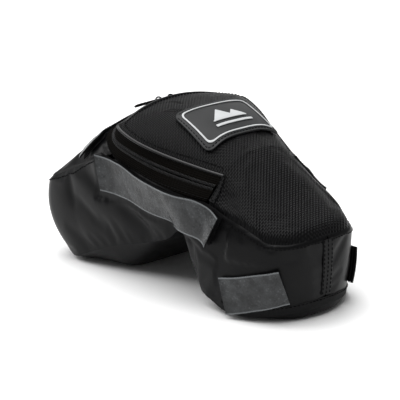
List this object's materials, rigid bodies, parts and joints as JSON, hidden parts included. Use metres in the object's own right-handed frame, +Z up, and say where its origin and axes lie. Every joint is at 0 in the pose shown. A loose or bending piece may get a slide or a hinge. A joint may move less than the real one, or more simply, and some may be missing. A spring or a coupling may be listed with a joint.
{
  "type": "tank bag",
  "caption": "Saddle-shaped soft bag with a domed zipped lid, a nose lobe and a back lobe either side of an arch, and hook-and-loop strips that fix it down.",
  "frame": {"origin": "centre of the bounding box at the plane the bag stands on", "axes": "+Z up, +X towards the nose lobe, the bag straddles along Y and is symmetric about Y = 0"},
  "size_m": [0.3522, 0.1996, 0.1856],
  "materials": {
    "vinyl": "smooth vinyl-coated fabric, satin",
    "textured_vinyl": "vinyl embossed with a fine vertical rib and dot weave",
    "binding": "folded nylon binding tape, stitched",
    "foam": "closed-cell foam padding",
    "lining": "coated nylon lining",
    "board": "semi-rigid polyethylene board",
    "webbing": "woven polyester zip tape with lengthwise ribs",
    "zip_teeth": "moulded nylon coil",
    "black_metal": "black enamelled zinc casting",
    "badge_rubber": "moulded soft PVC, matt",
    "badge_print": "raised light-grey moulded PVC",
    "loop_tape": "loop half of hook-and-loop tape, sewn on",
    "hook_tape": "adhesive-backed hook half of hook-and-loop tape",
    "release_liner": "translucent film liner over the adhesive, with trapped bubbles",
    "mesh": "open nylon mesh"
  },
  "bodies": {
    "bag": {"wall_panel_near": "vinyl", "wall_panel_far": "vinyl", "nose_top_panel": "textured_vinyl", "lobe_top_panel": "vinyl", "base_nose": "vinyl", "base_tunnel": "vinyl", "base_back": "vinyl", "hem_binding": "binding", "nose_seam_strip": "vinyl", "back_seam_strip": "vinyl", "wall_foam_near": "foam", "wall_foam_far": "foam", "wall_lining_near": "lining", "wall_lining_far": "lining", "nose_foam": "foam", "nose_lining": "lining", "base_board_nose": "board", "base_board_back": "board", "zip_tape_lower": "webbing", "zip_row_lower": "zip_teeth", "zip_end_tab_near": "binding", "zip_end_tab_far": "binding", "loop_side_near": "loop_tape", "loop_side_far": "loop_tape", "loop_nose_near": "loop_tape", "loop_nose_far": "loop_tape", "loop_rear": "loop_tape"},
    "lid": {"lid_panel": "textured_vinyl", "lid_foam": "foam", "lid_lining": "lining", "lid_mesh_pocket": "mesh", "lid_piping": "vinyl", "zip_tape_upper": "webbing", "zip_row_upper": "zip_teeth", "badge_base": "badge_rubber", "badge_border": "badge_print", "badge_peak": "badge_print", "badge_bar": "badge_print"},
    "slider_near": {"zip_slider_near": "black_metal"},
    "pull_near": {"zip_pull_near": "black_metal"},
    "slider_far": {"zip_slider_far": "black_metal"},
    "pull_far": {"zip_pull_far": "black_metal"},
    "strip_side_near": {"hook_side_near": "hook_tape", "liner_side_near": "release_liner"},
    "strip_side_far": {"hook_side_far": "hook_tape", "liner_side_far": "release_liner"},
    "strip_rear": {"hook_rear": "hook_tape", "liner_rear": "release_liner"},
    "strip_nose_near": {"hook_nose_near": "hook_tape", "liner_nose_near": "release_liner"},
    "strip_nose_far": {"hook_nose_far": "hook_tape", "liner_nose_far": "release_liner"}
  },
  "joints": [
    {"name": "lid_hinge", "type": "hinge", "parent": "bag", "child": "lid", "pos_m": [0.07762, 0, 0.1534], "axis": [0, 1, 0], "range_deg": [0, 100]},
    {"name": "zip_slider_near_travel", "type": "hinge", "parent": "lid", "child": "slider_near", "pos_m": [0.04267, 0, 0.01766], "axis": [0.8202, 0, 0.5721], "range_deg": [0, 19]},
    {"name": "zip_slider_far_travel", "type": "hinge", "parent": "lid", "child": "slider_far", "pos_m": [0.04267, 0, 0.01766], "axis": [-0.8202, 0, -0.5721], "range_deg": [0, 19]},
    {"name": "zip_pull_near_flip", "type": "hinge", "parent": "slider_near", "child": "pull_near", "pos_m": [-0.06844, -0.00848, 0.17694], "axis": [-0.8202, 0, -0.5721], "range_deg": [0, 100]},
    {"name": "zip_pull_far_flip", "type": "hinge", "parent": "slider_far", "child": "pull_far", "pos_m": [-0.06844, 0.00848, 0.17694], "axis": [0.8202, 0, 0.5721], "range_deg": [0, 100]},
    {"name": "strip_side_near_pull", "type": "slide", "parent": "bag", "child": "strip_side_near", "axis": [0, -1, 0], "range_m": [0, 0.04]},
    {"name": "strip_side_far_pull", "type": "slide", "parent": "bag", "child": "strip_side_far", "axis": [0, 1, 0], "range_m": [0, 0.04]},
    {"name": "strip_rear_pull", "type": "slide", "parent": "bag", "child": "strip_rear", "axis": [-0.63, 0, 0.7766], "range_m": [0, 0.04]},
    {"name": "strip_nose_near_pull", "type": "slide", "parent": "bag", "child": "strip_nose_near", "axis": [0.42, -0.9075, 0], "range_m": [0, 0.04]},
    {"name": "strip_nose_far_pull", "type": "slide", "parent": "bag", "child": "strip_nose_far", "axis": [0.42, 0.9075, 0], "range_m": [0, 0.04]}
  ]
}
